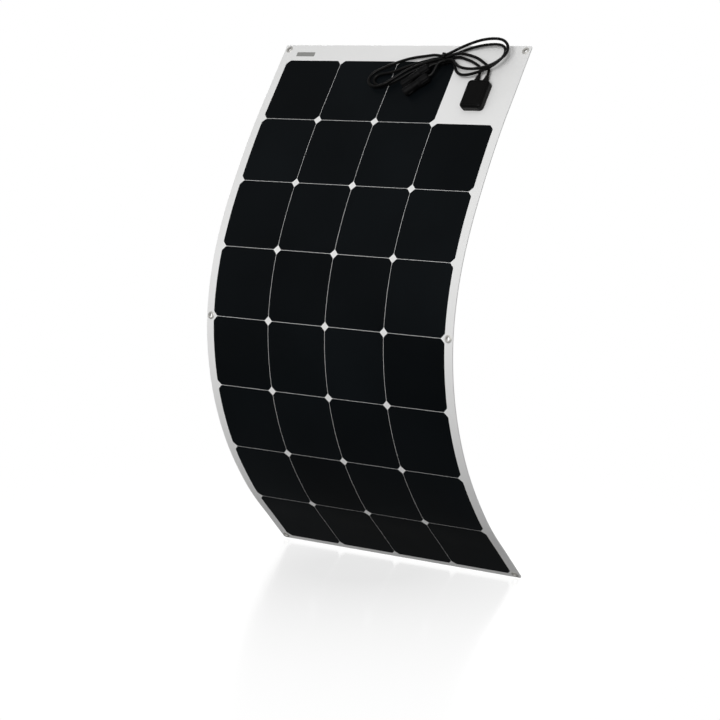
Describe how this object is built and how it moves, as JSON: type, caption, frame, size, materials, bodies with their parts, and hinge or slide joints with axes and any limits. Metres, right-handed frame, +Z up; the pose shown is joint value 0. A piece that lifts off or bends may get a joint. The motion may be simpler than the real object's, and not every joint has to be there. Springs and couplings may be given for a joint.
{
  "type": "flexible solar sheet",
  "caption": "Semi-flexible solar sheet: black cells on a white back sheet, bowed on its lower edge, with corner and side eyelets, a low junction box and a tied loop of two leads.",
  "frame": {"origin": "middle of the bottom of the bounding box", "axes": "+X across the sheet to the right seen from the cell side, +Z up, the cell side faces -Y"},
  "size_m": [0.54, 0.239, 0.9492],
  "materials": {
    "clear_film": "clear, fine stipple",
    "encapsulant": "clear",
    "cell": "dark, glossy behind film",
    "white_back_sheet": "white satin",
    "tinned_copper": "tinned",
    "eyelet_metal": "grey nickel plate",
    "box_plastic": "fine moulded texture",
    "seal_rubber": "matt",
    "pad_adhesive": "matt",
    "lead_jacket": "satin",
    "connector_plastic": "satin moulded",
    "contact_metal": "tin plate",
    "diode_body": "matt",
    "tie_plastic": "satin"
  },
  "bodies": {
    "row_1": {"front_film_row_1": "clear_film", "encapsulant_row_1": "encapsulant", "solar_cells_row_1": "cell", "back_sheet_row_1": "white_back_sheet", "bus_ribbons_top": "tinned_copper", "eyelets_top": "eyelet_metal", "eyelet_washers_top": "eyelet_metal", "box_adhesive_pad": "pad_adhesive", "junction_box_base": "box_plastic", "box_lid_gasket": "seal_rubber", "box_terminals": "contact_metal", "bypass_diodes": "diode_body", "lead_tails": "lead_jacket", "lead_boots": "seal_rubber"},
    "row_2": {"front_film_row_2": "clear_film", "encapsulant_row_2": "encapsulant", "solar_cells_row_2": "cell", "back_sheet_row_2": "white_back_sheet"},
    "row_3": {"front_film_row_3": "clear_film", "encapsulant_row_3": "encapsulant", "solar_cells_row_3": "cell", "back_sheet_row_3": "white_back_sheet"},
    "row_4": {"front_film_row_4": "clear_film", "encapsulant_row_4": "encapsulant", "solar_cells_row_4": "cell", "back_sheet_row_4": "white_back_sheet", "eyelets_middle": "eyelet_metal", "eyelet_washers_middle": "eyelet_metal"},
    "row_5": {"front_film_row_5": "clear_film", "encapsulant_row_5": "encapsulant", "solar_cells_row_5": "cell", "back_sheet_row_5": "white_back_sheet"},
    "row_6": {"front_film_row_6": "clear_film", "encapsulant_row_6": "encapsulant", "solar_cells_row_6": "cell", "back_sheet_row_6": "white_back_sheet"},
    "row_7": {"front_film_row_7": "clear_film", "encapsulant_row_7": "encapsulant", "solar_cells_row_7": "cell", "back_sheet_row_7": "white_back_sheet"},
    "row_8": {"front_film_row_8": "clear_film", "encapsulant_row_8": "encapsulant", "solar_cells_row_8": "cell", "back_sheet_row_8": "white_back_sheet", "bus_ribbons_bottom": "tinned_copper", "eyelets_bottom": "eyelet_metal", "eyelet_washers_bottom": "eyelet_metal"},
    "box_lid": {"junction_box_lid": "box_plastic"},
    "lead_bundle": {"lead_positive": "lead_jacket", "lead_negative": "lead_jacket", "cable_tie": "tie_plastic", "plug_housing": "connector_plastic", "plug_contact": "contact_metal", "plug_seal": "seal_rubber", "socket_housing": "connector_plastic", "socket_contact": "contact_metal", "socket_seal": "seal_rubber"},
    "plug_nut": {"plug_gland_nut": "connector_plastic"},
    "socket_nut": {"socket_gland_nut": "connector_plastic"}
  },
  "joints": [
    {"name": "flex_1_2", "type": "hinge", "parent": "row_1", "child": "row_2", "pos_m": [0, 0.02732, 0.80069], "axis": [1, 0, 0], "range_deg": [-4.02, 1.62], "stiffness_Nm_per_rad": 40},
    {"name": "flex_2_3", "type": "hinge", "parent": "row_2", "child": "row_3", "pos_m": [0, -0.03714, 0.69126], "axis": [1, 0, 0], "range_deg": [-6.02, 2.42], "stiffness_Nm_per_rad": 40},
    {"name": "flex_3_4", "type": "hinge", "parent": "row_3", "child": "row_4", "pos_m": [0, -0.0898, 0.5757], "axis": [1, 0, 0], "range_deg": [-12.52, 5.02], "stiffness_Nm_per_rad": 40},
    {"name": "flex_4_5", "type": "hinge", "parent": "row_4", "child": "row_5", "pos_m": [0, -0.11621, 0.45147], "axis": [1, 0, 0], "range_deg": [-16.5, 6.6], "stiffness_Nm_per_rad": 40},
    {"name": "flex_5_6", "type": "hinge", "parent": "row_5", "child": "row_6", "pos_m": [0, -0.10625, 0.32487], "axis": [1, 0, 0], "range_deg": [-15.52, 6.22], "stiffness_Nm_per_rad": 40},
    {"name": "flex_6_7", "type": "hinge", "parent": "row_6", "child": "row_7", "pos_m": [0, -0.06281, 0.20552], "axis": [1, 0, 0], "range_deg": [-14.02, 5.62], "stiffness_Nm_per_rad": 40},
    {"name": "flex_7_8", "type": "hinge", "parent": "row_7", "child": "row_8", "pos_m": [0, 0.00821, 0.10024], "axis": [1, 0, 0], "range_deg": [-9.52, 3.82], "stiffness_Nm_per_rad": 40},
    {"name": "lid_lift", "type": "slide", "parent": "row_1", "child": "box_lid", "axis": [0, -0.8241, 0.5664], "range_m": [0, 0.03]},
    {"name": "lead_bundle_lift", "type": "slide", "parent": "row_1", "child": "lead_bundle", "axis": [0, -0.8241, 0.5664], "range_m": [0, 0.03]},
    {"name": "plug_nut_turn", "type": "hinge", "parent": "lead_bundle", "child": "plug_nut", "pos_m": [0.0795, 0.08072, 0.89746], "axis": [-0.7431, -0.379, -0.5514], "range_deg": [0, 720]},
    {"name": "socket_nut_turn", "type": "hinge", "parent": "lead_bundle", "child": "socket_nut", "pos_m": [0.0865, 0.06951, 0.88114], "axis": [-0.7431, -0.379, -0.5514], "range_deg": [0, 720]}
  ],
  "couplings": [
    {"joint": "flex_1_2", "follows": "flex_4_5", "ratio": 0.24242},
    {"joint": "flex_2_3", "follows": "flex_4_5", "ratio": 0.36364},
    {"joint": "flex_3_4", "follows": "flex_4_5", "ratio": 0.75758},
    {"joint": "flex_5_6", "follows": "flex_4_5", "ratio": 0.93939},
    {"joint": "flex_6_7", "follows": "flex_4_5", "ratio": 0.84848},
    {"joint": "flex_7_8", "follows": "flex_4_5", "ratio": 0.57576}
  ]
}
